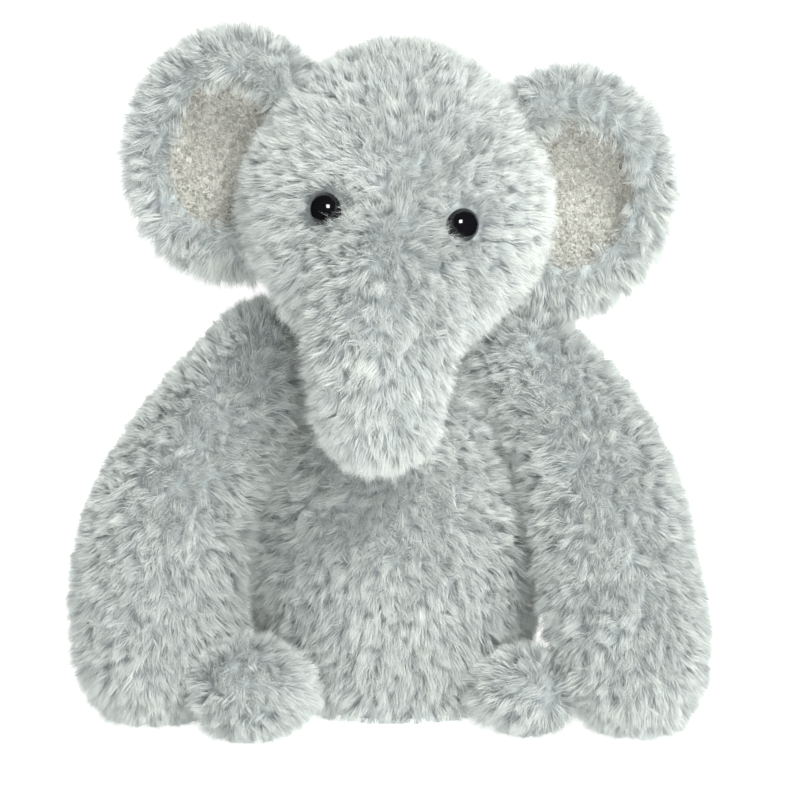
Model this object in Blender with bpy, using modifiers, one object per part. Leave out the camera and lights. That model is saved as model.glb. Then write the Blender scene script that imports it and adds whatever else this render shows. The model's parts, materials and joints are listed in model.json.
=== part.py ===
"""A sitting plush elephant: pile-fabric skins sewn around stuffing and pellet pouches.

Metres, +Z up. The toy faces -Y and rests on Z = 0, with the seat's centre at the origin.
Every soft member is an open skin (a shell of pile fabric) around its own closed filling.
The head group is modelled upright about the head's centre and carried by an empty that
gives it its slight roll and turn.
"""
import math

import bmesh
import bpy
from mathutils import Matrix, Vector

MM = 0.001

# --- Driving dimensions, in millimetres -------------------------------------------------
FABRIC = 2.2            # pile backing with its dense lower pile
GAP = 0.6               # skin to filling
SEW_GAP = 0.5           # between neighbouring fillings

# Body, from the floor up: height, half width, half depth and how far back its middle is
BODY_STATIONS = [(0, 38, 31, 0), (7, 46, 36, 1), (25, 53, 42, 4), (58, 60, 51, 3),
                 (90, 56, 48, 3), (118, 44, 39, 2), (138, 32, 33, 0), (151, 25, 27, -2),
                 (156, 18, 20, -3)]
BODY_SEGMENTS = 24
SEAT_HALF_WIDTH, SEAT_HALF_DEPTH, SEAT_THICKNESS = 31.0, 24.0, 1.8
SEAT_GAP = 0.8
SEAT_POUCH_TOP = 26.0

HEAD_CENTRE = (2.0, -8.0, 220.5)
HEAD_HALF = (60.5, 57.0, 58.5)   # half width, depth, height
HEAD_ROLL, HEAD_TURN = 6.5, -1.0  # degrees about +Y and +Z
CHEEK_DROP = 0.14                # how much fuller the head is below its middle
# How far forward the jaw is, at angles in degrees down from the crown
JAW_FORWARD = [(90, 0.0), (105, 0.0), (120, 6.0), (135, 9.5), (150, 6.0), (180, 0.0)]

NECK_PIVOT = (-2.0, -4.0, 168.0)
NECK_BALL, NECK_STEM, NECK_FOOT_Z = 14.0, 11.0, 139.0
NECK_CLEARANCE = 1.0
NECK_ROOM_HEIGHT = 40.0
NECK_HOLE = 25.0                 # radius of the opening under the head

# Trunk, in the head's own frame: centre line and radius from root to tip
TRUNK_LINE = [(0, -45, -25), (0.5, -60, -44), (1.5, -67, -65), (2, -67, -84)]
TRUNK_RADII = [25.0, 28.0, 25.0, 22.5]
TRUNK_CLEARANCE = 0.9
TRUNK_ROOM_ANGLES = (-6, 8, 22, 36)   # the head is hollowed for the trunk over this range

# Ears, in the head's own frame
EAR_CENTRE = (68.0, 13.0, 8.5)
EAR_HALF_WIDTH, EAR_HALF_HEIGHT = 46.0, 52.0
EAR_YAW = 16.0
# Inset from the ear's outline and distance forward of its plane, from the back to the lip
EAR_SECTION = [(37, -8.5), (22, -7.5), (10, -4.0), (3, 1.5), (0, 8), (2.5, 14.5),
               (9, 17.5), (15, 15.5), (18, 11)]
LINING_INSET, LINING_FORWARD, LINING_DISH, LINING_THICKNESS = 19.2, 11.0, 11.5, 1.5
RIM_ROLL_INSET, RIM_ROLL_FORWARD, RIM_ROLL_RADIUS = 9.0, 7.6, 5.6
EAR_CLEARANCE = 4.0
EAR_FABRIC = 1.8
EAR_OPENING_FORWARD = 4.0        # of the middle of the opening that the lining fills

EYE_SIDE, EYE_HEIGHT = 26.6, -8.5
EYE_RADIUS, EYE_DOME, EYE_FLANGE = 6.9, 5.6, 1.2
EYE_SHANK_RADIUS, EYE_SHANK = 1.6, 9.0
WASHER_RADIUS, WASHER_THICKNESS, WASHER_GAP = 5.2, 1.2, 2.2
EYE_LIFT = 0.7                   # of the flange above the skin
SHANK_CLEARANCE, WASHER_CLEARANCE = 0.5, 0.8
BORE_START, BORE_LENGTH = 6.0, 24.0
POCKET_START, POCKET_DEPTH = 2.0, 8.7

# Arms from below the shoulder to the paw: centre line and radius
ARM_LEFT_LINE = [(-51, -2, 151), (-69, -6, 126), (-87.5, -12, 96), (-97, -18, 64),
                 (-98, -21, 40)]
ARM_RIGHT_LINE = [(51, -2, 151), (73.5, -12, 124), (86.5, -25, 94), (92.5, -37, 63),
                  (97, -44, 36.5)]
ARM_LEFT_RADII = [21.0, 26.0, 30.0, 32.5, 32.5]
ARM_RIGHT_RADII = [20.5, 24.5, 28.0, 29.0, 29.0]
ARM_TIP_LENGTH = 1.33            # the paw's end is longer than a half ball by this factor
PAW_POUCH_Z = 30.0

# Legs from the hip to the foot; the right foot is tucked in behind the right paw
LEG_LEFT_LINE = [(-46, -36, 15), (-52.5, -46.5, 18), (-58.5, -56, 19.4)]
LEG_RIGHT_LINE = [(45, -37, 15), (50, -43, 17), (54.5, -48, 17.2)]
LEG_LEFT_RADII, LEG_RIGHT_RADII = [12.0, 17.0, 20.0], [12.0, 15.0, 16.5]
LEG_TIP_LENGTH = 1.1

TAIL_LINE = [(0, 59, 33), (0, 66, 24), (0, 70, 13)]
TAIL_RADII = [6.0, 6.5, 7.5]
TAIL_FABRIC, TAIL_GAP = 1.5, 0.5

# --- Collections and materials ----------------------------------------------------------
for old in list(bpy.data.objects):
    bpy.data.objects.remove(old)

toy = bpy.data.collections.new("plush_elephant")
guides = bpy.data.collections.new("cutters")
bpy.context.scene.collection.children.link(toy)
bpy.context.scene.collection.children.link(guides)


def material(name, colour, roughness, metallic=0.0):
    mat = bpy.data.materials.new(name)
    mat.use_nodes = True
    shader = mat.node_tree.nodes["Principled BSDF"]
    shader.inputs["Base Color"].default_value = (*colour, 1.0)
    shader.inputs["Roughness"].default_value = roughness
    shader.inputs["Metallic"].default_value = metallic
    return mat


PILE = material("pile_fabric", (0.48, 0.53, 0.52), 0.95)
FLEECE = material("ear_fleece", (0.52, 0.48, 0.42), 0.95)
FILLING = material("polyester_filling", (0.85, 0.85, 0.83), 1.0)
POUCH = material("pellet_pouch_cloth", (0.75, 0.74, 0.70), 0.9)
EYE = material("eye_plastic", (0.004, 0.004, 0.005), 0.08)
WASHER = material("washer_plastic", (0.8, 0.8, 0.8), 0.5)


# --- Shape tools ------------------------------------------------------------------------
def spline(points, t):
    """Catmull-Rom curve through points, with t from 0 at the first to 1 at the last."""
    last = len(points) - 1
    place = min(max(t, 0.0), 1.0) * last
    i = min(int(place), last - 1)
    u = place - i
    p1, p2 = Vector(points[i]), Vector(points[i + 1])
    p0 = Vector(points[i - 1]) if i else p1 * 2 - p2
    p3 = Vector(points[i + 2]) if i + 2 <= last else p2 * 2 - p1
    return 0.5 * (2 * p1 + (p2 - p0) * u + (2 * p0 - 5 * p1 + 4 * p2 - p3) * u * u
                  + (3 * p1 - p0 - 3 * p2 + p3) * u ** 3)


def shaped_sphere(segments, rings, ring_at):
    """A UV sphere whose ring k, counted from its +Z pole, goes where ring_at(k) says:
    a centre and two half-axis vectors, in millimetres."""
    bm = bmesh.new()
    bmesh.ops.create_uvsphere(bm, u_segments=segments, v_segments=rings, radius=1.0)
    for vert in bm.verts:
        k = round(math.acos(min(max(vert.co.z, -1.0), 1.0)) / math.pi * rings)
        centre, side, front = ring_at(k)
        around = math.atan2(vert.co.y, vert.co.x)
        pole = k in (0, rings)
        reach = Vector() if pole else side * math.cos(around) + front * math.sin(around)
        vert.co = (centre + reach) * MM
    face_out(bm)
    return bm


def face_out(bm):
    """Turn a closed form's faces outwards."""
    if bm.calc_volume(signed=True) < 0:
        bmesh.ops.reverse_faces(bm, faces=bm.faces)
    bm.normal_update()


def remove_pole(bm, top):
    """Open a shaped sphere at one pole, to leave the hole a member is sewn or filled by."""
    poles = [v for v in bm.verts if len(v.link_edges) > 4]
    pole = (max if top else min)(poles, key=lambda v: v.co.z)
    bmesh.ops.delete(bm, geom=[pole], context="VERTS")


def inset(bm, distance):
    """Move every vertex inwards along its normal."""
    bm.normal_update()
    moves = [(v, v.normal.copy()) for v in bm.verts]
    for vert, normal in moves:
        vert.co -= normal * distance * MM


def keep_side(bm, height, above):
    """Keep the part of a closed form above or below a level, closed with a flat face."""
    point, normal = Vector((0, 0, height * MM)), Vector((0, 0, 1))
    cut = bmesh.ops.bisect_plane(bm, geom=bm.verts[:] + bm.edges[:] + bm.faces[:],
                                 plane_co=point, plane_no=normal,
                                 clear_outer=not above, clear_inner=above)
    rim = [g for g in cut["geom_cut"] if isinstance(g, bmesh.types.BMEdge)]
    bmesh.ops.contextual_create(bm, geom=rim)
    bmesh.ops.recalc_face_normals(bm, faces=bm.faces)
    face_out(bm)


def add(name, bm, mat, parent=None, group=toy):
    mesh = bpy.data.meshes.new(name)
    bm.to_mesh(mesh)
    bm.free()
    mesh.shade_smooth()
    mesh.set_sharp_from_angle(angle=math.radians(50))
    mesh.materials.append(mat)
    obj = bpy.data.objects.new(name, mesh)
    group.objects.link(obj)
    if parent:
        obj.parent = parent
    return obj


def skin(name, bm, mat, parent=None, thickness=FABRIC):
    """An open surface given the fabric's thickness, inwards."""
    obj = add(name, bm, mat, parent)
    wall = obj.modifiers.new("fabric", "SOLIDIFY")
    wall.thickness = thickness * MM
    wall.offset = -1.0
    wall.use_even_offset = True
    return obj


def cutter(name, bm, parent=None):
    obj = add(name, bm, WASHER, parent, guides)
    obj.hide_render = True
    obj.display_type = "WIRE"
    return obj


def carve(obj, *tools):
    for tool in tools:
        cut = obj.modifiers.new(tool.name, "BOOLEAN")
        cut.operation = "DIFFERENCE"
        cut.solver = "EXACT"
        cut.object = tool


def ball(centre, half, segments=24, rings=14):
    """A closed ellipsoid."""
    cx, cy, cz = centre

    def ring(k):
        angle = math.pi * k / rings
        width = math.sin(angle)
        return (Vector((cx, cy, cz + half[2] * math.cos(angle))),
                Vector((half[0] * width, 0, 0)), Vector((0, half[1] * width, 0)))
    return shaped_sphere(segments, rings, ring)


def rod(start, direction, radius, length, segments=16):
    """A closed cylinder from start along direction."""
    bm = bmesh.new()
    bmesh.ops.create_cone(bm, cap_ends=True, segments=segments, radius1=radius * MM,
                          radius2=radius * MM, depth=length * MM)
    turn = Vector((0, 0, 1)).rotation_difference(Vector(direction)).to_matrix().to_4x4()
    middle = (Vector(start) + Vector(direction).normalized() * length / 2) * MM
    bmesh.ops.transform(bm, matrix=Matrix.Translation(middle) @ turn, verts=bm.verts)
    return bm


def limb(line, radii, segments, caps, middles, tip=1.0, floor=None):
    """A round-ended limb along a centre line. tip stretches its far end, and nothing of
    it goes below floor, where it rests flat."""
    rings = 2 * caps + middles
    start_way = (spline(line, 0.02) - spline(line, 0.0)).normalized()
    end_way = (spline(line, 1.0) - spline(line, 0.98)).normalized()

    def ring(k):
        if k < caps:
            angle = math.pi / 2 * k / caps
            centre = Vector(line[0]) - start_way * radii[0] * math.cos(angle)
            radius, way = radii[0] * math.sin(angle), start_way
        elif k > rings - caps:
            angle = math.pi / 2 * (rings - k) / caps
            centre = Vector(line[-1]) + end_way * radii[-1] * tip * math.cos(angle)
            radius, way = radii[-1] * math.sin(angle), end_way
        else:
            t = (k - caps) / middles
            centre = spline(line, t)
            radius = spline([(r, 0, 0) for r in radii], t).x
            way = (spline(line, min(t + 0.02, 1)) - spline(line, max(t - 0.02, 0))).normalized()
        side = Vector((1, 0, 0))
        side = (side - way * side.dot(way)).normalized()
        return centre, side * radius, way.cross(side) * radius

    bm = shaped_sphere(segments, rings, ring)
    if floor is not None:
        for vert in bm.verts:
            vert.co.z = max(vert.co.z, floor * MM)
    return bm


# --- Body -------------------------------------------------------------------------------
def body_form():
    steps = 11

    def ring(k):
        if k > steps:
            return (Vector(), Vector((SEAT_HALF_WIDTH + SEAT_GAP, 0, 0)),
                    Vector((0, SEAT_HALF_DEPTH + SEAT_GAP, 0)))
        height, width, depth, back = spline(BODY_STATIONS, 1 - max(k - 1, 0) / (steps - 1))
        return Vector((0, back, max(height, 0))), Vector((width, 0, 0)), Vector((0, depth, 0))
    return shaped_sphere(BODY_SEGMENTS, steps + 2, ring)


def build_body():
    foot = (NECK_PIVOT[0], NECK_PIVOT[1], NECK_FOOT_Z - NECK_CLEARANCE)
    neck_room = cutter("neck_room", rod(foot, (0, 0, 1), NECK_STEM + NECK_CLEARANCE,
                                        NECK_ROOM_HEIGHT))
    shell = body_form()
    remove_pole(shell, top=True)
    remove_pole(shell, top=False)
    skin("body_skin", shell, PILE)

    seat = bmesh.new()
    bmesh.ops.create_cone(seat, cap_ends=True, segments=32, radius1=1.0, radius2=1.0, depth=1.0)
    size = Vector((SEAT_HALF_WIDTH, SEAT_HALF_DEPTH, SEAT_THICKNESS)) * MM
    bmesh.ops.scale(seat, vec=size, verts=seat.verts)
    bmesh.ops.translate(seat, vec=(0, 0, SEAT_THICKNESS / 2 * MM), verts=seat.verts)
    add("seat_base", seat, PILE)

    filling = body_form()
    inset(filling, FABRIC + GAP)
    keep_side(filling, SEAT_POUCH_TOP + SEW_GAP, above=True)
    body_stuffing = add("body_stuffing", filling, FILLING)
    carve(body_stuffing, neck_room)

    pellets = body_form()
    inset(pellets, FABRIC + GAP)
    keep_side(pellets, SEAT_POUCH_TOP, above=False)
    add("seat_pellet_pouch", pellets, POUCH)


def build_neck():
    ball_part = cutter("neck_ball_form", ball(NECK_PIVOT, [NECK_BALL] * 3, 16, 10))
    stem = add("neck_core", rod((NECK_PIVOT[0], NECK_PIVOT[1], NECK_FOOT_Z), (0, 0, 1),
                                NECK_STEM, NECK_PIVOT[2] - NECK_FOOT_Z, 16), FILLING)
    join = stem.modifiers.new("ball", "BOOLEAN")
    join.operation = "UNION"
    join.solver = "EXACT"
    join.object = ball_part
    return stem


# --- Head, in its own upright frame -----------------------------------------------------
def jaw_forward(angle):
    """How far forward the head's middle is, at an angle in radians down from its crown."""
    down = math.degrees(angle)
    for (a, near), (b, far) in zip(JAW_FORWARD, JAW_FORWARD[1:]):
        if a <= down <= b:
            return near + (far - near) * (down - a) / (b - a)
    return 0.0


def head_form(extra=0.0):
    half = [h + extra for h in HEAD_HALF]
    rings = 12
    hole = math.degrees(math.asin(NECK_HOLE / half[0]))

    def ring(k):
        angle = math.radians(180 * k / rings)
        if k == rings - 1:
            angle = math.radians(180 - hole)
        width = math.sin(angle) * (1 - CHEEK_DROP * math.cos(angle))
        return (Vector((0, -jaw_forward(angle), half[2] * math.cos(angle))),
                Vector((half[0] * width, 0, 0)), Vector((0, half[1] * width, 0)))
    return shaped_sphere(22, rings, ring)


def head_surface(x, z):
    """The head's front surface at a side position and height, and its outward normal."""
    a, b, c = HEAD_HALF
    angle = math.acos(z / c)
    swell = 1 - CHEEK_DROP * math.cos(angle)
    y = -b * math.sqrt(max(math.sin(angle) ** 2 * swell ** 2 - (x / a) ** 2, 0.0))
    y -= jaw_forward(angle)
    return Vector((x, y, z)), Vector((x / a ** 2, y / b ** 2, z / c ** 2)).normalized()


def build_head(frame):
    place = frame.matrix_world.inverted()
    pivot = place @ (Vector(NECK_PIVOT) * MM) / MM
    neck_socket = cutter("neck_socket", ball(pivot, [NECK_BALL + NECK_CLEARANCE] * 3, 16, 10), frame)
    room_for_trunk = trunk_room(frame)
    shell = head_form()
    remove_pole(shell, top=False)
    head_skin = skin("head_skin", shell, PILE, frame)
    filling = head_form()
    inset(filling, FABRIC + GAP)
    head_stuffing = add("head_stuffing", filling, FILLING, frame)
    carve(head_skin, room_for_trunk)
    carve(head_stuffing, room_for_trunk, neck_socket)

    for side, s in (("left", -1), ("right", 1)):
        point, out = head_surface(s * EYE_SIDE, EYE_HEIGHT)
        build_eye(side, point, out, frame, head_skin, head_stuffing)


def build_eye(side, point, out, frame, head_skin, head_stuffing):
    """A domed eye: its flange lies on the skin, and its shank goes through to a washer."""
    turn = Vector((0, 0, 1)).rotation_difference(out).to_matrix().to_4x4()
    seat = point + out * EYE_LIFT
    rings = 9

    def ring(k):
        if k <= rings - 4:      # the dome, from its crown to the flange's edge
            angle = math.pi / 2 * k / (rings - 4)
            r, h = EYE_RADIUS * math.sin(angle), EYE_FLANGE + EYE_DOME * math.cos(angle)
        else:                   # the flange's underside and the shank
            r, h = {3: (EYE_RADIUS, 0), 2: (EYE_SHANK_RADIUS, 0),
                    1: (EYE_SHANK_RADIUS, -EYE_SHANK), 0: (0, -EYE_SHANK)}[rings - k]
        return Vector((0, 0, h)), Vector((r, 0, 0)), Vector((0, r, 0))
    eye = shaped_sphere(14, rings, ring)
    bmesh.ops.transform(eye, matrix=Matrix.Translation(seat * MM) @ turn, verts=eye.verts)
    add(f"eye_{side}", eye, EYE, frame)

    behind = point - out * (FABRIC + WASHER_GAP)
    washer = add(f"eye_washer_{side}", rod(behind, -out, WASHER_RADIUS, WASHER_THICKNESS, 16),
                 WASHER, frame)
    bore_form = rod(point + out * BORE_START, -out, EYE_SHANK_RADIUS + SHANK_CLEARANCE,
                    BORE_LENGTH, 12)
    bore = cutter(f"eye_bore_{side}", bore_form, frame)
    pocket_form = rod(point + out * POCKET_START, -out, WASHER_RADIUS + WASHER_CLEARANCE,
                      POCKET_DEPTH)
    pocket = cutter(f"washer_pocket_{side}", pocket_form, frame)
    carve(washer, bore)
    carve(head_skin, bore)
    carve(head_stuffing, pocket, bore)


def trunk_form():
    return limb(TRUNK_LINE, TRUNK_RADII, 16, 3, 4)


def trunk_room(frame):
    """The space that the trunk's root sweeps as it is lifted, as one convex cutter."""
    room = bmesh.new()
    root = Vector(TRUNK_LINE[0]) * MM
    for angle in TRUNK_ROOM_ANGLES:
        pose = trunk_form()
        inset(pose, -TRUNK_CLEARANCE)
        turn = Matrix.Rotation(math.radians(-angle), 3, "X")
        for vert in pose.verts:
            if vert.co.z > TRUNK_LINE[2][2] * MM:
                room.verts.new(root + turn @ (vert.co - root))
        pose.free()
    hull = bmesh.ops.convex_hull(room, input=room.verts)
    bmesh.ops.delete(room, geom=[v for v in hull["geom_interior"]
                                 if isinstance(v, bmesh.types.BMVert)], context="VERTS")
    face_out(room)
    return cutter("trunk_room", room, frame)


def build_trunk(frame):
    shell = trunk_form()
    remove_pole(shell, top=True)
    skin("trunk_skin", shell, PILE, frame)
    filling = trunk_form()
    inset(filling, FABRIC + GAP)
    add("trunk_stuffing", filling, FILLING, frame)


def build_ear(side, s, frame):
    """A cupped ear: pile at the back and over the rim, a fleece lining and a rim roll."""
    turn = Matrix.Rotation(math.radians(s * EAR_YAW), 4, "Z")
    place = Matrix.Translation(Vector((s * EAR_CENTRE[0], EAR_CENTRE[1], EAR_CENTRE[2])) * MM) @ turn
    head_room = cutter(f"ear_room_{side}", head_form(EAR_CLEARANCE), frame)
    steps = len(EAR_SECTION)

    def oval(inset_by, forward):
        a, b = EAR_HALF_WIDTH - inset_by, EAR_HALF_HEIGHT - inset_by
        return Vector((0, -forward, 0)), Vector((a, 0, 0)), Vector((0, 0, b))

    def pile_ring(k):
        if k == 0:
            return Vector((0, -EAR_SECTION[0][1], 0)), Vector(), Vector()
        if k > steps - 1:
            return Vector((0, -EAR_OPENING_FORWARD, 0)), Vector(), Vector()
        return oval(*EAR_SECTION[k])
    pile = shaped_sphere(24, steps, pile_ring)
    front = min((v for v in pile.verts if len(v.link_edges) > 4),
                key=lambda v: abs(v.co.y + EAR_OPENING_FORWARD * MM))
    bmesh.ops.delete(pile, geom=[front], context="VERTS")
    bmesh.ops.transform(pile, matrix=place, verts=pile.verts)
    carve(skin(f"ear_{side}_pile", pile, PILE, frame, EAR_FABRIC), head_room)

    half = 4

    def lining_ring(k):
        reach = math.sin(math.pi * k / (2 * half))
        forward = LINING_FORWARD - LINING_DISH * (1 - reach ** 2)
        if k > half:
            forward -= LINING_THICKNESS
        a = (EAR_HALF_WIDTH - LINING_INSET) * reach
        b = (EAR_HALF_HEIGHT - LINING_INSET) * reach
        return Vector((0, -forward, 0)), Vector((a, 0, 0)), Vector((0, 0, b))
    lining = shaped_sphere(24, 2 * half, lining_ring)
    bmesh.ops.transform(lining, matrix=place, verts=lining.verts)
    carve(add(f"ear_{side}_lining", lining, FLEECE, frame), head_room)

    bpy.ops.mesh.primitive_torus_add(major_segments=24, minor_segments=7, major_radius=1.0,
                                     minor_radius=0.25)
    ring_object = bpy.context.object
    roll = bmesh.new()
    roll.from_mesh(ring_object.data)
    bpy.data.objects.remove(ring_object)
    a, b = EAR_HALF_WIDTH - RIM_ROLL_INSET, EAR_HALF_HEIGHT - RIM_ROLL_INSET
    for vert in roll.verts:
        phi = math.atan2(vert.co.y, vert.co.x)
        psi = math.atan2(vert.co.z, math.hypot(vert.co.x, vert.co.y) - 1.0)
        out = Vector((math.cos(phi) / a, 0, math.sin(phi) / b)).normalized()
        centre = Vector((a * math.cos(phi), -RIM_ROLL_FORWARD, b * math.sin(phi)))
        vert.co = (centre + RIM_ROLL_RADIUS * (out * math.cos(psi)
                                               + Vector((0, 1, 0)) * math.sin(psi))) * MM
    face_out(roll)
    bmesh.ops.transform(roll, matrix=place, verts=roll.verts)
    carve(add(f"ear_{side}_wadding", roll, FILLING, frame), head_room)


# --- Arms, legs and tail ----------------------------------------------------------------
def build_arm(side, line, radii):
    def form():
        return limb(line, radii, 16, 3, 7, ARM_TIP_LENGTH, floor=0.0)
    shell = form()
    remove_pole(shell, top=True)
    skin(f"arm_{side}_skin", shell, PILE)
    filling = form()
    inset(filling, FABRIC + GAP)
    keep_side(filling, PAW_POUCH_Z + SEW_GAP, above=True)
    add(f"arm_{side}_stuffing", filling, FILLING)
    pellets = form()
    inset(pellets, FABRIC + GAP)
    keep_side(pellets, PAW_POUCH_Z, above=False)
    add(f"paw_{side}_pellet_pouch", pellets, POUCH)


def build_leg(side, line, radii):
    def form():
        return limb(line, radii, 14, 3, 3, LEG_TIP_LENGTH, floor=0.0)
    shell = form()
    hip_pole = max((v for v in shell.verts if len(v.link_edges) > 4), key=lambda v: v.co.y)
    bmesh.ops.delete(shell, geom=[hip_pole], context="VERTS")
    skin(f"leg_{side}_skin", shell, PILE)
    filling = form()
    inset(filling, FABRIC + GAP)
    add(f"leg_{side}_stuffing", filling, FILLING)


def build_tail():
    def form():
        return limb(TAIL_LINE, TAIL_RADII, 10, 3, 3)
    shell = form()
    remove_pole(shell, top=True)
    skin("tail_skin", shell, PILE, thickness=TAIL_FABRIC)
    filling = form()
    inset(filling, TAIL_FABRIC + TAIL_GAP)
    add("tail_stuffing", filling, FILLING)


build_body()
build_neck()
head_frame = bpy.data.objects.new("head_frame", None)
guides.objects.link(head_frame)
head_frame.matrix_world = (Matrix.Translation(Vector(HEAD_CENTRE) * MM)
                           @ Matrix.Rotation(math.radians(HEAD_TURN), 4, "Z")
                           @ Matrix.Rotation(math.radians(HEAD_ROLL), 4, "Y"))
bpy.context.view_layer.update()
build_head(head_frame)
build_trunk(head_frame)
for ear_side, ear_sign in (("left", -1), ("right", 1)):
    build_ear(ear_side, ear_sign, head_frame)
build_arm("left", ARM_LEFT_LINE, ARM_LEFT_RADII)
build_arm("right", ARM_RIGHT_LINE, ARM_RIGHT_RADII)
build_leg("left", LEG_LEFT_LINE, LEG_LEFT_RADII)
build_leg("right", LEG_RIGHT_LINE, LEG_RIGHT_RADII)
build_tail()
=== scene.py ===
"""The looks of the sitting plush elephant: soft skins, long combed pile, fleece ears, glossy eyes.

Every visible skin is grown from its packed filling, then covered with pile made as real
geometry: tapered strands gathered into tufts. Lengths are in metres.
"""
import json
import math

import bmesh
import bpy
import numpy as np
from mathutils import Matrix, Vector, kdtree, noise
from mathutils.bvhtree import BVHTree


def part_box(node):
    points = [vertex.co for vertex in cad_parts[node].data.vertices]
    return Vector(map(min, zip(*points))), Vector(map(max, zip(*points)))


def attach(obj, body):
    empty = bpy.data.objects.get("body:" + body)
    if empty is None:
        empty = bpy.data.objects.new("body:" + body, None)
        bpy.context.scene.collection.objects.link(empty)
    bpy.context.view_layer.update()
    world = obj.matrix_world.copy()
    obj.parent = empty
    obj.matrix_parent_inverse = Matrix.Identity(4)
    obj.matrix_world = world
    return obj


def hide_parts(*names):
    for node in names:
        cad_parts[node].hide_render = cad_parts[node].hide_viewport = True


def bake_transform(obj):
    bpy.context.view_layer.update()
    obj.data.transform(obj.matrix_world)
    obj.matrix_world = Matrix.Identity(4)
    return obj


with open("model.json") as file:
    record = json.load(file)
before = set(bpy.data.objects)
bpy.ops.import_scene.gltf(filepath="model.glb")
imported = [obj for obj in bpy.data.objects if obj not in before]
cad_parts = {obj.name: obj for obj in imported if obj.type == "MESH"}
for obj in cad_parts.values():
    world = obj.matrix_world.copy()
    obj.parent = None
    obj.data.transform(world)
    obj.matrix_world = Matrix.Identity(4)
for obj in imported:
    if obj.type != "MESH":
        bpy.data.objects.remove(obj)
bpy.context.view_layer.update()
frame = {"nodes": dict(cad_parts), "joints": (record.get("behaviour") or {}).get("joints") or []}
NODES = frame["nodes"]
JOINTS = {joint["name"]: joint for joint in frame["joints"]}
MM = 0.001
BAKE_UV = "OFBake"          # the strands' own UV map: tint across, root to tip up
TINTS = 24                  # columns of tint across that map
MOST_STRANDS = 95000        # in one object
FLOOR_GAP = 0.0003          # strands pressed on the floor lie this far above it


# --- The head's own frame, read from the joints that were set out in it -------------------
def head_axes():
    side = -Vector(JOINTS["trunk_lift"]["axis"]).normalized()
    up = Vector(JOINTS["ear_right_fold"]["axis"]).normalized()
    return side, up.cross(side).normalized(), up


HEAD_SIDE, HEAD_BACK, HEAD_UP = head_axes()
HEAD_LOW, HEAD_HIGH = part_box("head_stuffing")
HEAD_CENTRE = Vector(((HEAD_LOW.x + HEAD_HIGH.x) / 2, (HEAD_LOW.y + HEAD_HIGH.y) / 2,
                      HEAD_HIGH.z - (HEAD_HIGH.x - HEAD_LOW.x) / 2))


# --- Camera, light and floor ---------------------------------------------------------------
VIEW_ELEVATION = math.radians(7.0)
VIEW_TARGET = Vector((0.0025, 0.0, 0.1313))
VIEW_WIDTH = 0.336          # of the picture, at the target
LENS, SENSOR = 135.0, 36.0
WALL_LIGHT, SWEEP_WHITE = 0.28, 1.15     # world strength as light, and as the white backdrop
# Each soft light's name, place, size and power in watts
LIGHTS = [("key", (0.6, -1.05, 1.32), 0.6, 29.5), ("front", (0.22, -1.5, 0.15), 0.7, 20.0),
          ("rim", (-0.35, 1.3, 1.0), 1.2, 14.0)]
GLINT = ("glint", (0.05, -1.4, 0.66), 0.46, 16.0)      # seen only as the highlight in the eyes
FLOOR_SIZE, FLOOR_GLOW = 6.0, 0.8


def set_stage():
    camera_data = bpy.data.cameras.new("camera")
    camera_data.lens, camera_data.sensor_width = LENS, SENSOR
    camera = bpy.data.objects.new("camera", camera_data)
    bpy.context.scene.collection.objects.link(camera)
    distance = VIEW_WIDTH / 2 / (SENSOR / 2 / LENS)
    back = Vector((0, -math.cos(VIEW_ELEVATION), math.sin(VIEW_ELEVATION)))
    camera.location = VIEW_TARGET + back * distance
    camera.rotation_euler = (-back).to_track_quat("-Z", "Y").to_euler()
    bpy.context.scene.camera = camera

    world = bpy.data.worlds.new("studio")
    world.use_nodes = True
    tree = world.node_tree
    walls = tree.nodes["Background"]         # what lights the toy
    sweep = tree.nodes.new("ShaderNodeBackground")      # what is seen behind it
    for background, strength in ((walls, WALL_LIGHT), (sweep, SWEEP_WHITE)):
        background.inputs["Color"].default_value = (1.0, 1.0, 1.0, 1.0)
        background.inputs["Strength"].default_value = strength
    path = tree.nodes.new("ShaderNodeLightPath")
    mix = tree.nodes.new("ShaderNodeMixShader")
    tree.links.new(path.outputs["Is Camera Ray"], mix.inputs["Fac"])
    tree.links.new(walls.outputs["Background"], mix.inputs[1])
    tree.links.new(sweep.outputs["Background"], mix.inputs[2])
    tree.links.new(mix.outputs["Shader"], tree.nodes["World Output"].inputs["Surface"])
    bpy.context.scene.world = world
    bpy.context.scene.view_settings.view_transform = "Standard"

    for light in LIGHTS:
        lamp(*light).visible_glossy = False
    world.cycles_visibility.glossy = False
    glint = lamp(*GLINT)
    glint.visible_diffuse = False

    bpy.ops.mesh.primitive_plane_add(size=FLOOR_SIZE)
    floor = bpy.context.object
    floor.name = "floor"
    paper = plain_material("floor_paper", (0.8, 0.8, 0.8), 0.9)
    glow = paper.node_tree.nodes["Principled BSDF"].inputs
    glow["Emission Color"].default_value = (1.0, 1.0, 1.0, 1.0)
    glow["Emission Strength"].default_value = FLOOR_GLOW
    floor.data.materials.append(paper)
    floor.visible_glossy = False


def lamp(name, place, size, power):
    data = bpy.data.lights.new(name, "AREA")
    data.size, data.energy = size, power
    obj = bpy.data.objects.new(name, data)
    obj.location = place
    obj.rotation_euler = (VIEW_TARGET - Vector(place)).to_track_quat("-Z", "Y").to_euler()
    bpy.context.scene.collection.objects.link(obj)
    return obj


# --- Materials -----------------------------------------------------------------------------
def plain_material(name, colour, roughness):
    mat = bpy.data.materials.new(name)
    mat.use_nodes = True
    shader = mat.node_tree.nodes["Principled BSDF"]
    shader.inputs["Base Color"].default_value = (*colour, 1.0)
    shader.inputs["Roughness"].default_value = roughness
    return mat


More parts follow.
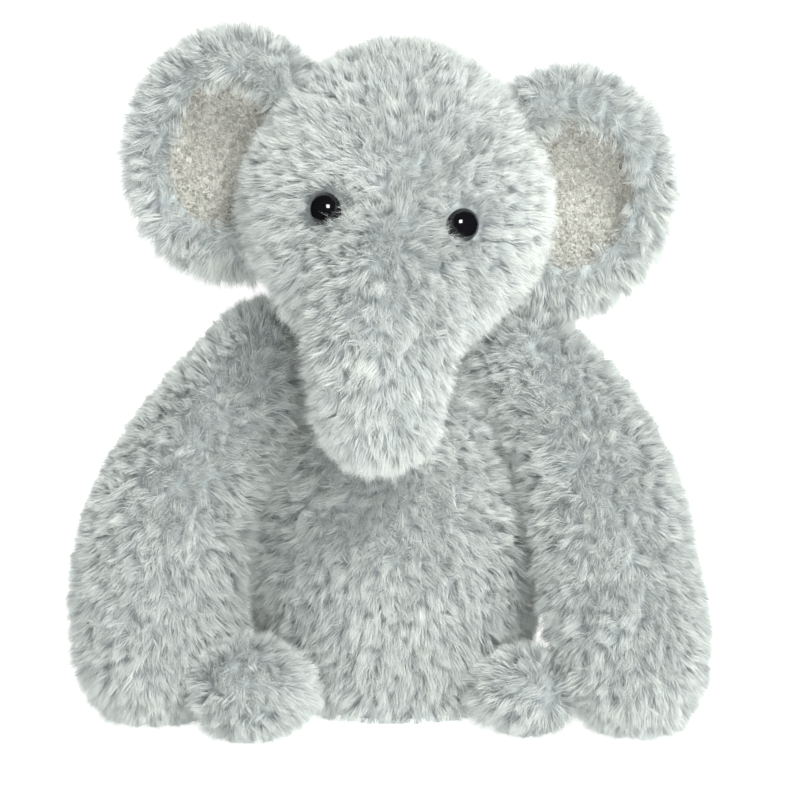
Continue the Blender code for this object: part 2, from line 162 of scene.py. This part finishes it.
def ramp_node(tree, stops):
    ramp = tree.nodes.new("ShaderNodeValToRGB")
    while len(ramp.color_ramp.elements) < len(stops):
        ramp.color_ramp.elements.new(0.5)
    for element, (place, colour) in zip(ramp.color_ramp.elements, stops):
        element.position = place
        element.color = (*colour, 1.0)
    return ramp


def strand_material(name, root_to_tip, tint_low, tint_high):
    """Colour runs from root to tip along each strand, its dark roots a painted shade deep in the
    pile, and differs from tuft to tuft.
    """
    mat = bpy.data.materials.new(name)
    mat.use_nodes = True
    tree = mat.node_tree
    shader = tree.nodes["Principled BSDF"]
    shader.inputs["Roughness"].default_value = 0.9
    shader.inputs["Specular IOR Level"].default_value = 0.25
    shader.inputs["Sheen Weight"].default_value = 0.25
    shader.inputs["Sheen Roughness"].default_value = 0.6
    uv = tree.nodes.new("ShaderNodeUVMap")
    uv.uv_map = BAKE_UV
    split = tree.nodes.new("ShaderNodeSeparateXYZ")
    along = ramp_node(tree, root_to_tip)
    across = ramp_node(tree, [(0.0, tint_low), (1.0, tint_high)])
    mix = tree.nodes.new("ShaderNodeMix")
    mix.data_type, mix.blend_type = "RGBA", "MULTIPLY"
    mix.inputs["Factor"].default_value = 1.0
    tree.links.new(uv.outputs["UV"], split.inputs["Vector"])
    tree.links.new(split.outputs["X"], across.inputs["Fac"])
    tree.links.new(split.outputs["Y"], along.inputs["Fac"])
    tree.links.new(along.outputs["Color"], mix.inputs["A"])
    tree.links.new(across.outputs["Color"], mix.inputs["B"])
    tree.links.new(mix.outputs["Result"], shader.inputs["Base Color"])
    return mat


def cloth_material(name, dark, light, scale, bump=0.0):
    """Knitted backing or fleece: mottled colour, with a fine loop bump where asked."""
    mat = bpy.data.materials.new(name)
    mat.use_nodes = True
    tree = mat.node_tree
    shader = tree.nodes["Principled BSDF"]
    shader.inputs["Roughness"].default_value = 0.95
    shader.inputs["Specular IOR Level"].default_value = 0.2
    place = tree.nodes.new("ShaderNodeTexCoord")
    grain = tree.nodes.new("ShaderNodeTexNoise")
    grain.inputs["Scale"].default_value = scale
    grain.inputs["Detail"].default_value = 4.0
    tree.links.new(place.outputs["Object"], grain.inputs["Vector"])
    ramp = ramp_node(tree, [(0.35, dark), (0.65, light)])
    tree.links.new(grain.outputs["Fac"], ramp.inputs["Fac"])
    tree.links.new(ramp.outputs["Color"], shader.inputs["Base Color"])
    if bump:
        loops = tree.nodes.new("ShaderNodeTexVoronoi")
        loops.inputs["Scale"].default_value = scale * 1.6
        relief = tree.nodes.new("ShaderNodeBump")
        relief.inputs["Distance"].default_value = bump
        relief.invert = True
        tree.links.new(place.outputs["Object"], loops.inputs["Vector"])
        tree.links.new(loops.outputs["Distance"], relief.inputs["Height"])
        tree.links.new(relief.outputs["Normal"], shader.inputs["Normal"])
    return mat


# The pile from root to tip: the dark roots are painted shade deep in the pile, the pale tips its
# own colour
PILE_TONE_AND_ROOT_SHADE = [(0.0, (0.22, 0.24, 0.25)), (0.35, (0.47, 0.50, 0.49)),
              (0.7, (0.70, 0.73, 0.69)), (1.0, (0.81, 0.84, 0.79))]
# The fleece loops from root to tip: the dark roots are painted shade between the loops
LOOP_TONE_AND_ROOT_SHADE = [(0.0, (0.31, 0.305, 0.27)), (0.6, (0.60, 0.605, 0.55)), (1.0, (0.76, 0.765, 0.70))]
WHITE = (1.0, 1.0, 1.0)


def make_materials():
    return {
        "pile": strand_material("pile", PILE_TONE_AND_ROOT_SHADE, (0.82, 0.85, 0.88), WHITE),
        "backing": cloth_material("pile_backing", (0.34, 0.38, 0.38), (0.46, 0.51, 0.50), 260.0),
        "fleece": cloth_material("ear_fleece", (0.40, 0.40, 0.36), (0.60, 0.60, 0.55), 700.0,
                                 bump=0.0006),
        "loops": strand_material("fleece_loops", LOOP_TONE_AND_ROOT_SHADE, (0.74, 0.73, 0.71), WHITE),
        "seat": cloth_material("seat_panel", (0.30, 0.34, 0.33), (0.50, 0.55, 0.53), 420.0,
                               bump=0.0008),
    }


def eye_material():
    """Polished black plastic, with the faint haze that handling leaves."""
    mat = plain_material("eye_black", (0.004, 0.004, 0.005), 0.06)
    tree = mat.node_tree
    shader = tree.nodes["Principled BSDF"]
    place = tree.nodes.new("ShaderNodeTexCoord")
    haze = tree.nodes.new("ShaderNodeTexNoise")
    haze.inputs["Scale"].default_value = 420.0
    level = tree.nodes.new("ShaderNodeMapRange")
    level.inputs["To Min"].default_value = 0.04
    level.inputs["To Max"].default_value = 0.09
    tree.links.new(place.outputs["Object"], haze.inputs["Vector"])
    tree.links.new(haze.outputs["Fac"], level.inputs["Value"])
    tree.links.new(level.outputs["Result"], shader.inputs["Roughness"])
    shader.inputs["Coat Weight"].default_value = 0.6
    shader.inputs["Coat Roughness"].default_value = 0.03
    return mat


# --- Soft skins ----------------------------------------------------------------------------
LUMP_WAVES = 28.0           # a skin's soft lumps, in waves per metre


def node_mesh(*names):
    """The named CAD nodes' triangles, copied into one bmesh."""
    bm = bmesh.new()
    for name in names:
        bm.from_mesh(NODES[name].data)
    bmesh.ops.remove_doubles(bm, verts=bm.verts, dist=1e-6)
    return bm


def mesh_object(name, bm):
    mesh = bpy.data.meshes.new(name)
    bm.to_mesh(mesh)
    bm.free()
    obj = bpy.data.objects.new(name, mesh)
    bpy.context.scene.collection.objects.link(obj)
    return obj


def hulled(bm):
    """Replace the geometry by its convex hull, which fills sockets and pockets."""
    hull = bmesh.ops.convex_hull(bm, input=bm.verts)
    inner = [v for v in hull["geom_interior"] if isinstance(v, bmesh.types.BMVert)]
    bmesh.ops.delete(bm, geom=inner, context="VERTS")
    return bm


def apply_modifiers(obj):
    depsgraph = bpy.context.evaluated_depsgraph_get()
    mesh = bpy.data.meshes.new_from_object(obj.evaluated_get(depsgraph))
    old, obj.data = obj.data, mesh
    obj.modifiers.clear()
    bpy.data.meshes.remove(old)
    mesh.name = obj.name


def soft_skin(name, bm, voxel=0.003, rounds=10, swell=0.0, lumps=0.0008, seed=0):
    """One closed, even skin from rough solids: remeshed, smoothed, and given soft lumps."""
    obj = mesh_object(name, bm)
    remesh = obj.modifiers.new("even", "REMESH")
    remesh.mode, remesh.voxel_size, remesh.adaptivity = "VOXEL", voxel, 0.0
    smooth = obj.modifiers.new("smooth", "SMOOTH")
    smooth.factor, smooth.iterations = 0.5, rounds
    apply_modifiers(obj)
    normals = vertex_normals(obj)
    for vert, normal in zip(obj.data.vertices, normals):
        lump = noise.noise((vert.co + Vector((seed, 0, 0))) * LUMP_WAVES)
        vert.co += Vector(normal) * (swell + lumps * lump)
    obj.data.shade_smooth()
    return obj


def vertex_normals(obj):
    values = np.zeros(len(obj.data.vertices) * 3, np.float32)
    obj.data.vertices.foreach_get("normal", values)
    return values.reshape(-1, 3)


def surface_arrays(obj):
    """Vertices, triangles and vertex normals of an object that sits at the origin."""
    mesh = obj.data
    mesh.calc_loop_triangles()
    points = np.zeros(len(mesh.vertices) * 3, np.float32)
    mesh.vertices.foreach_get("co", points)
    tris = np.zeros(len(mesh.loop_triangles) * 3, np.int32)
    mesh.loop_triangles.foreach_get("vertices", tris)
    return points.reshape(-1, 3), tris.reshape(-1, 3), vertex_normals(obj)


# --- Pile ----------------------------------------------------------------------------------
# Slow waves across the pile, in radians per metre, and their share: how it sways over a
# hand's breadth and in each lock, and how its tint does the same
SWAY, LOCKS = (60.0, 0.5), (260.0, 0.4)
BROAD_TINT, FINE_TINT = (90.0, 0.2), (260.0, 0.2)
UNDERSIDE = (0.0045, -0.75)       # below this height, a skin that faces down more than this
LEAST_RISE = 0.25           # of a strand's way along its skin's normal
LEAST_FLOW = 0.55           # of its lean that a strand keeps where the brushing has no way
LEAN_RANGE = (0.05, 1.3)    # in radians from the skin's normal
WIDEST = 0.45               # of the way along a strand
BOW = 0.07                  # of its reach, by which its middle stands off the skin
MIDDLE_PULL = 0.15          # of its tip's pull to the tuft, which its middle follows
# How much strands of one tuft differ in lean, way, side and tint, and how much tufts do in tint
LEAN_JITTER, WAY_JITTER, SIDE_JITTER, TINT_JITTER, TUFT_TINT = 0.16, 0.15, 0.5, 0.12, 0.2
# Least and most of a strand's reach, its tuft's reach, its pull to the tuft and its width
REACH_RANGE, TUFT_RANGE = (0.72, 1.08), (0.84, 1.12)
PULL_RANGE, WIDTH_RANGE = (0.5, 1.2), (0.75, 1.25)
GUARD_SHARE = 0.12          # of strands that are longer, finer and loose from their tuft
GUARD_REACH, GUARD_PULL, GUARD_WIDTH = 1.22, 0.25, 0.6         # against the other strands


def unit(v):
    return v / np.maximum(np.linalg.norm(v, axis=1, keepdims=True), 1e-9)


def flat_to(v, normal):
    """The part of v that lies along the surface with that normal."""
    return v - normal * np.sum(v * normal, axis=1, keepdims=True)


def swirl(points, scale, seed):
    """A smooth random direction at each point, from sums of slow waves."""
    rng = np.random.default_rng(seed)
    out = np.zeros((len(points), 3))
    for _ in range(5):
        waves = rng.normal(size=(3, 3)) * scale
        phase = rng.uniform(0, 2 * np.pi, 3)
        out += np.sin(points @ waves.T + phase)
    return out / 5


def sample(surface, count, rng):
    points, tris, normals = surface
    a, b, c = (points[tris[:, k]] for k in range(3))
    area = np.linalg.norm(np.cross(b - a, c - a), axis=1)
    chosen = rng.choice(len(tris), count, p=area / area.sum())
    r1, r2 = np.sqrt(rng.random(count)), rng.random(count)
    weights = np.stack([1 - r1, r1 * (1 - r2), r1 * r2], axis=1)[:, :, None]
    where = (points[tris[chosen]] * weights).sum(1)
    facing = unit((normals[tris[chosen]] * weights).sum(1))
    return where.astype(np.float64), facing.astype(np.float64)


def area_of(surface):
    points, tris, _ = surface
    a, b, c = (points[tris[:, k]] for k in range(3))
    return np.linalg.norm(np.cross(b - a, c - a), axis=1).sum() / 2


def nearest_of(points, centres):
    """For each point, the index of the nearest centre."""
    tree = kdtree.KDTree(len(centres))
    for i, centre in enumerate(centres):
        tree.insert(centre, i)
    tree.balance()
    return np.fromiter((tree.find(p)[1] for p in points), np.int64, len(points))


def pile(name, skin, comb, material, density=4.6, length=0.0102, width=0.00021, lean=0.52,
         tuft=0.0027, gather=0.4, keep=None, seed=1, droop=0.06, spread=0.34):
    """Long pile over a skin, in tapered strands gathered into tufts at their tips.

    comb(points, normals) gives the way the pile is brushed; keep(points, normals) is False
    where none grows. density is strands per square millimetre."""
    rng = np.random.default_rng(seed)
    surface = surface_arrays(skin)
    where, facing = sample(surface, int(area_of(surface) * 1e6 * density), rng)
    if keep is not None:
        left = keep(where, facing)
        where, facing = where[left], facing[left]
    count = len(where)
    tufts = min(max(int(count / (density * 1e6) / tuft ** 2), 4), count)
    tuft_of = nearest_of(where, where[rng.choice(count, tufts, replace=False)])

    # Each strand leans the way the pile is brushed; each tuft also tilts a way of its own
    flow = flat_to(comb(where, facing) + SWAY[1] * swirl(where, SWAY[0], seed)
                   + LOCKS[1] * swirl(where, LOCKS[0], seed + 3), facing)
    strength = np.clip(np.linalg.norm(flow, axis=1), LEAST_FLOW, 1.0)
    brushed = unit(flow)
    lean_angle = np.clip(lean * strength + rng.normal(size=count) * LEAN_JITTER,
                         *LEAN_RANGE)[:, None]
    tilt = rng.normal(size=(tufts, 3)) * spread
    way = unit(facing * np.cos(lean_angle) + brushed * np.sin(lean_angle)
               + tilt[tuft_of] + rng.normal(size=(count, 3)) * WAY_JITTER)
    rise = np.sum(way * facing, axis=1, keepdims=True)
    way = unit(way + facing * np.maximum(LEAST_RISE - rise, 0))
    guard = rng.random((count, 1)) < GUARD_SHARE
    reach = (length * rng.uniform(*REACH_RANGE, (count, 1)) * np.where(guard, GUARD_REACH, 1.0)
             * rng.uniform(*TUFT_RANGE, tufts)[tuft_of][:, None])

    tip = where + way * reach
    hearts = np.zeros((tufts, 3))
    np.add.at(hearts, tuft_of, tip)
    members = np.bincount(tuft_of, minlength=tufts)[:, None]
    heart = (hearts / np.maximum(members, 1))[tuft_of]
    pull = gather * rng.uniform(*PULL_RANGE, (count, 1)) * np.where(guard, GUARD_PULL, 1.0)
    middle = (where + way * reach * WIDEST + facing * reach * BOW
              + (heart - tip) * pull * MIDDLE_PULL)
    tip = tip + (heart - tip) * pull
    tip[:, 2:] -= reach * droop
    for end in (middle, tip):
        end[:, 2] = np.maximum(end[:, 2], FLOOR_GAP)

    along = unit(tip - where)
    across = np.cross(along, facing) + rng.normal(size=(count, 3)) * SIDE_JITTER
    across = unit(across - along * np.sum(across * along, axis=1, keepdims=True))
    half = width / 2 * rng.uniform(*WIDTH_RANGE, (count, 1)) * np.where(guard, GUARD_WIDTH, 1.0)
    corners = np.stack([where, middle - across * half, middle + across * half, tip], axis=1)

    tone = np.clip(0.5 + TUFT_TINT * rng.normal(size=tufts)[tuft_of]
                   + TINT_JITTER * rng.normal(size=count)
                   + BROAD_TINT[1] * swirl(where, BROAD_TINT[0], seed + 7)[:, 0]
                   + FINE_TINT[1] * swirl(where, FINE_TINT[0], seed + 8)[:, 0], 0, 0.999)
    column = (np.floor(tone * TINTS) + 0.5) / TINTS
    chunks = math.ceil(count / MOST_STRANDS)
    return [strands_object(f"{name}_{k + 1}", corners[k::chunks], column[k::chunks], material)
            for k in range(chunks)]


def strands_object(name, corners, column, material):
    """A mesh of strands, each a root, two middle corners and a tip."""
    count = len(corners)
    first = np.arange(count)[:, None] * 4
    tris = np.concatenate([first + [0, 2, 1], first + [1, 2, 3]], axis=1).reshape(-1, 3)
    mesh = bpy.data.meshes.new(name)
    mesh.vertices.add(count * 4)
    mesh.vertices.foreach_set("co", corners.astype(np.float32).ravel())
    mesh.loops.add(len(tris) * 3)
    mesh.loops.foreach_set("vertex_index", tris.astype(np.int32).ravel())
    mesh.polygons.add(len(tris))
    mesh.polygons.foreach_set("loop_start", np.arange(0, len(tris) * 3, 3, dtype=np.int32))
    mesh.update(calc_edges=True)
    mesh.shade_smooth()

    # Each strand reads one tint. The first strand of each tint has width on the map, so
    # that the whole map is covered; the rest lie on its middle line.
    side = np.zeros(count)
    for tint in range(TINTS):
        found = np.flatnonzero(np.abs(column - (tint + 0.5) / TINTS) < 1e-6)[:1]
        side[found] = 0.5 / TINTS
    u = column[:, None] + side[:, None] * np.array([0.0, -1.0, 1.0, 0.0])
    v = np.broadcast_to([0.0, WIDEST, WIDEST, 1.0], u.shape)
    corner_uv = np.stack([u, v], axis=2).reshape(-1, 2)
    layer = mesh.uv_layers.new(name=BAKE_UV)
    layer.data.foreach_set("uv", corner_uv[tris.ravel()].astype(np.float32).ravel())
    mesh.materials.append(material)
    obj = bpy.data.objects.new(name, mesh)
    bpy.context.scene.collection.objects.link(obj)
    return obj


def outside_of(*skins, margin=0.0):
    """A test for points that aren't inside any of these closed skins."""
    trees = []
    for skin in skins:
        points, tris, _ = surface_arrays(skin)
        trees.append(BVHTree.FromPolygons(points.tolist(), tris.tolist()))

    def test(points, _normals):
        clear = np.ones(len(points), bool)
        for tree in trees:
            for i, p in enumerate(points):
                if clear[i]:
                    near, normal, _, _ = tree.find_nearest(p)
                    if (Vector(p) - near).dot(normal) < margin:
                        clear[i] = False
        return clear
    return test


def both(*tests):
    def test(points, normals):
        clear = np.ones(len(points), bool)
        for one in tests:
            left = np.flatnonzero(clear)
            clear[left] = one(points[left], normals[left])
        return clear
    return test


def above_floor(points, normals):
    """The pile under the toy is pressed flat, so none grows where a skin faces the floor."""
    return (points[:, 2] > UNDERSIDE[0]) | (normals[:, 2] > UNDERSIDE[1])


def comb_from(centre, down, out=1.0):
    """Brushed away from a centre and downwards."""
    heart = np.array(centre)

    def comb(points, _normals):
        away = unit(points - heart)
        return away * out + np.array([0.0, 0.0, -down])
    return comb


def comb_along(start, end, out=0.3):
    """Brushed from start towards end, as down a limb."""
    line = np.array(end) - np.array(start)
    line = line / np.linalg.norm(line)

    def comb(points, normals):
        return line + normals * out
    return comb


# --- The toy -------------------------------------------------------------------------------
def middle_of(node):
    low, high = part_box(node)
    return (low + high) / 2


def clothe(skin, body, material, nodes, fur, motion=None):
    """Give a skin its backing, hide the parts it stands for, and hang it and its pile from its
    body so that they move with it; given a motion, they are only fixed in place in the world.
    """
    skin.data.materials.clear()
    skin.data.materials.append(material)
    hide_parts(*nodes)
    for piece in [skin, *fur]:
        if motion:
            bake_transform(piece)
        else:
            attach(piece, body)


def head_point(x, y, z):
    """A point of the head's own frame, in millimetres from its centre, in the world."""
    return HEAD_CENTRE + (HEAD_SIDE * x + HEAD_BACK * y + HEAD_UP * z) * MM


def part_of(name, whole, inside):
    """The faces of a skin whose middles pass a test, as a new object."""
    bm = bmesh.new()
    bm.from_mesh(whole.data)
    gone = [f for f in bm.faces if not inside(f.calc_center_median())]
    bmesh.ops.delete(bm, geom=gone, context="FACES")
    obj = mesh_object(name, bm)
    obj.data.shade_smooth()
    return obj


TRUNK_WAY = (HEAD_BACK * -0.55 - HEAD_UP * 0.835).normalized()
TRUNK_BEND = (42 * MM, 108 * MM)     # from the head's centre: where the bend starts and ends
MUZZLE_MIDDLE, MUZZLE_HALF = (0, -38, -33), (41, 24, 27)       # in the head's frame
FACE_MIDDLE = (0, -66, -4)           # where the head's pile parts, between the eyes
TRUNK_ROOT, TRUNK_TIP = (0, -45, -20), (0, -67, -84)
TRUNK_REACH, CHEEK_REACH = 0.024, 0.044      # from the trunk's line: trunk pile, head pile


def build_head(mats):
    """Head and trunk are one soft form, parted where the trunk clears the head."""
    whole = hulled(node_mesh("head_stuffing"))
    whole.from_mesh(NODES["trunk_stuffing"].data)
    muzzle = bmesh.ops.create_uvsphere(whole, u_segments=48, v_segments=24, radius=1.0)["verts"]
    for vert in muzzle:
        vert.co = head_point(*(c + h * x for c, h, x in zip(MUZZLE_MIDDLE, MUZZLE_HALF, vert.co)))
    form = soft_skin("head_form", whole, rounds=26, swell=0.0012, seed=1)

    def along_trunk(point):
        return (point - HEAD_CENTRE).dot(TRUNK_WAY)
    skin = part_of("head_plush", form, lambda p: along_trunk(p) <= TRUNK_BEND[0])
    trunk = part_of("trunk_plush", form, lambda p: along_trunk(p) > TRUNK_BEND[0])
    bpy.data.objects.remove(form)
    eyes = [np.array(middle_of("eye_left")), np.array(middle_of("eye_right"))]

    def off_eyes(points, _normals):
        far = [np.linalg.norm(points - eye, axis=1) > EYE_CLEARING for eye in eyes]
        return np.logical_and(*far)

    face = np.array(head_point(*FACE_MIDDLE))
    root, tip = np.array(head_point(*TRUNK_ROOT)), np.array(head_point(*TRUNK_TIP))
    line = (tip - root) / np.linalg.norm(tip - root)

    def comb(points, normals):
        """Out from between the eyes over the head, and down the trunk."""
        away = unit(points - face) + np.array([0.0, 0.0, -0.25])
        around = flat_to(points - root, np.tile(line, (len(points), 1)))
        down = line + 0.2 * unit(around)
        share = ((np.linalg.norm(around, axis=1) - TRUNK_REACH) / (CHEEK_REACH - TRUNK_REACH))
        share = np.clip(share, 0, 1)[:, None]
        share = np.where((points - root) @ line[:, None] > 0, share, 1.0)
        way = away * share + down * (1 - share)
        for eye in eyes:
            off = points - eye
            far = np.linalg.norm(off, axis=1, keepdims=True)
            near = np.clip(1 - (far - EYE_CLEARING) / EYE_PARTING, 0, 1)
            way = way * (1 - near) + unit(off) * 0.5 * near
        return way
    head_fur = pile("head_pile", skin, comb, mats["pile"], keep=off_eyes, seed=11)
    trunk_fur = pile("trunk_pile", trunk, comb, mats["pile"], lean=0.65, seed=12)
    bend = ("head", "trunk", HEAD_CENTRE + TRUNK_WAY * TRUNK_BEND[0],
            HEAD_CENTRE + TRUNK_WAY * TRUNK_BEND[1])
    clothe(skin, "head", mats["backing"], ["head_skin", "head_stuffing"], head_fur)
    clothe(trunk, "trunk", mats["backing"], ["trunk_skin", "trunk_stuffing"], trunk_fur,
           motion=bend)
    build_eyes()
    return skin


EYE_CLEARING = 0.0074        # no pile grows within this of an eye's middle
EYE_PARTING = 0.0085         # how far beyond that the pile parts around the eye
EYE_DOME, EYE_UNDER = 0.0058, 0.0035


def build_eyes():
    mat = eye_material()
    for side in ("left", "right"):
        points = np.array([v.co for v in NODES[f"eye_{side}"].data.vertices])
        behind = np.array([v.co for v in NODES[f"eye_washer_{side}"].data.vertices]).mean(0)
        axis = unit((points.mean(0) - behind)[None, :])[0]
        along = (points - behind) @ axis
        radius = np.linalg.norm(points - behind - np.outer(along, axis), axis=1).max()
        bm = bmesh.new()
        bmesh.ops.create_uvsphere(bm, u_segments=48, v_segments=32, radius=1.0)
        for vert in bm.verts:
            vert.co.x *= radius
            vert.co.y *= radius
            vert.co.z *= EYE_DOME if vert.co.z > 0 else EYE_UNDER
        turn = Vector((0, 0, 1)).rotation_difference(Vector(axis)).to_matrix().to_4x4()
        base = Vector(behind + axis * (along.max() - EYE_DOME))
        bmesh.ops.transform(bm, matrix=Matrix.Translation(base) @ turn, verts=bm.verts)
        obj = mesh_object(f"eye_{side}_dome", bm)
        obj.data.shade_smooth()
        obj.data.materials.append(mat)
        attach(obj, "head")
        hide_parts(f"eye_{side}", f"eye_washer_{side}")


# The ear's section, from the back to the dish: inset as a share of its half size, and the
# share of its depth from the back to the front of the rolled rim
EAR_SECTION = [(1.0, 0.06), (0.62, 0.05), (0.33, 0.14), (0.12, 0.33), (0.0, 0.60), (0.06, 0.86),
               (0.20, 0.99), (0.33, 0.94), (0.41, 0.72), (0.46, 0.54), (0.62, 0.36), (1.0, 0.24)]
EAR_TURN = math.radians(16.0)
EAR_HALF = (0.0432, 0.0492)          # half width and half height of the rim's outer line
EAR_MIDDLE = (68, 13, 8.5)           # in the head's frame
EAR_DEPTH = (0.0060, -0.0152)        # of the back and of the rolled rim's front
PANEL_SHARE = 0.64                   # of the half size: where the fleece ends
PANEL_FACING = 0.3                   # the most that the fleece faces backwards
COMB_RISE, LEAST_COMB = (0.6, 0.8), 0.2      # of the half size, where the outward comb grows


def build_ear(side, mats, head):
    s = -1 if side == "left" else 1
    centre = np.array(head_point(s * EAR_MIDDLE[0], EAR_MIDDLE[1], EAR_MIDDLE[2]))
    across = HEAD_SIDE * math.cos(EAR_TURN) + HEAD_BACK * (s * math.sin(EAR_TURN))
    turn = np.array([across, HEAD_UP.cross(across), HEAD_UP])      # world to ear frame
    back = turn[1]

    def oval(points):
        """Where a point lies on the ear: 1 at the rim's outer line."""
        p = (points - centre) @ turn.T
        return np.hypot(p[:, 0] / EAR_HALF[0], p[:, 2] / EAR_HALF[1])

    bm = bmesh.new()
    bmesh.ops.create_uvsphere(bm, u_segments=64, v_segments=44, radius=1.0)
    last = len(EAR_SECTION) - 1
    for vert in bm.verts:
        t = math.acos(min(max(vert.co.z, -1), 1)) / math.pi * last
        i = min(int(t), last - 1)
        inset, depth = (a + (b - a) * (t - i) for a, b in zip(EAR_SECTION[i], EAR_SECTION[i + 1]))
        around = math.atan2(vert.co.y, vert.co.x)
        local = (EAR_HALF[0] * (1 - inset) * math.cos(around),
                 EAR_DEPTH[0] + (EAR_DEPTH[1] - EAR_DEPTH[0]) * depth,
                 EAR_HALF[1] * (1 - inset) * math.sin(around))
        vert.co = Vector(centre + np.array(local) @ turn)
    if bm.calc_volume(signed=True) < 0:
        bmesh.ops.reverse_faces(bm, faces=bm.faces)
    skin = soft_skin(f"ear_{side}_plush", bm, voxel=0.0024, rounds=6, lumps=0.0006, seed=5)

    def panel(points, normals):
        return (oval(points) < PANEL_SHARE) & (normals @ back < PANEL_FACING)

    def comb(points, normals):
        """Out from the ear's middle and down, and less outwards beside the lining."""
        p = (points - centre) @ turn.T
        radial = unit(np.stack([p[:, 0], np.zeros(len(p)), p[:, 2]], axis=1)) @ turn
        inner = np.clip((oval(points) - COMB_RISE[0]) / (COMB_RISE[1] - COMB_RISE[0]),
                        LEAST_COMB, 1.0)
        share = np.where(normals @ back < 0.0, inner, 1.0)[:, None]
        return radial * share + np.array([0.0, 0.0, -0.4])
    away = outside_of(head, margin=-0.001)
    fur = pile(f"ear_{side}_pile", skin, comb, mats["pile"], seed=21 + s,
               keep=both(lambda p, n: ~panel(p, n), away))
    loops = pile(f"ear_{side}_fleece", skin, comb_from(centre, down=0.2), mats["loops"],
                 density=8.0, length=0.0014, width=0.0004, lean=0.6, tuft=0.0012, gather=0.5,
                 keep=both(panel, away), seed=31 + s, droop=0.0, spread=0.6)
    clothe(skin, f"ear_{side}", mats["backing"],
           [f"ear_{side}_pile", f"ear_{side}_lining", f"ear_{side}_wadding"], fur)
    skin.data.materials.append(mats["fleece"])
    for poly in skin.data.polygons:
        on_panel = panel(np.array([poly.center]), np.array([poly.normal]))
        poly.material_index = int(on_panel[0])
    for piece in loops:
        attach(piece, f"ear_{side}")


COLLAR_HEIGHT, COLLAR_HALF = 0.157, (0.026, 0.028, 0.016)      # the neck's soft collar


def build_body(mats):
    skin = soft_skin("body_plush", node_mesh("body_stuffing", "seat_pellet_pouch"), swell=0.0012,
                     seed=3)
    centre = middle_of("body_skin")
    fur = pile("body_pile", skin, comb_from(centre, down=0.9, out=0.5), mats["pile"],
               keep=above_floor, seed=41)
    clothe(skin, "body", mats["backing"], ["body_skin", "body_stuffing", "seat_pellet_pouch"], fur)
    NODES["seat_base"].data.materials.clear()
    NODES["seat_base"].data.materials.append(mats["seat"])

    low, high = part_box("neck_core")
    middle = (low + high) / 2
    bm = bmesh.new()
    bmesh.ops.create_uvsphere(bm, u_segments=40, v_segments=20, radius=1.0)
    for vert in bm.verts:
        reach = [half * x for half, x in zip(COLLAR_HALF, vert.co)]
        vert.co = Vector((middle.x + reach[0], middle.y + reach[1], COLLAR_HEIGHT + reach[2]))
    collar = mesh_object("neck_plush", bm)
    collar.data.shade_smooth()
    collar_fur = pile("neck_pile", collar, comb_from(middle, down=0.5), mats["pile"], seed=43)
    clothe(collar, "neck", mats["backing"], ["neck_core"], collar_fur)
    return skin


def build_limb(name, solids, comb, mats, torso, seed, fine, swell):
    """An arm or a leg: its skin from its fillings, and pile brushed outwards and down."""
    skin = soft_skin(f"{name}_plush", node_mesh(*solids), voxel=fine, swell=swell, seed=seed)
    fur = pile(f"{name}_pile", skin, comb, mats["pile"], seed=seed,
               keep=outside_of(torso, margin=-0.001))
    clothe(skin, name, mats["backing"], [f"{name}_skin", *solids], fur)


def build_limbs(mats, torso):
    for seed, side in enumerate(("left", "right")):
        arm, leg = f"arm_{side}", f"leg_{side}"
        build_limb(arm, [f"arm_{side}_stuffing", f"paw_{side}_pellet_pouch"],
                   comb_from(middle_of(f"arm_{side}_skin"), down=0.7, out=0.8), mats, torso,
                   51 + seed, fine=0.003, swell=0.0018)
        build_limb(leg, [f"leg_{side}_stuffing"],
                   comb_from(middle_of(f"paw_{side}_pellet_pouch"), down=0.35), mats, torso,
                   61 + seed, fine=0.0025, swell=0.001)


def build_tail(mats):
    skin = soft_skin("tail_plush", node_mesh("tail_stuffing"), voxel=0.0015, rounds=4, seed=71)
    low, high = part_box("tail_skin")
    fur = pile("tail_pile", skin, comb_along((0, low.y, high.z), (0, high.y, low.z)), mats["pile"],
               length=0.009, lean=0.9, keep=above_floor, seed=71)
    clothe(skin, "tail", mats["backing"], ["tail_skin", "tail_stuffing"], fur)


set_stage()
materials = make_materials()
head_skin = build_head(materials)
for ear in ("left", "right"):
    build_ear(ear, materials, head_skin)
body_skin = build_body(materials)
build_limbs(materials, body_skin)
build_tail(materials)
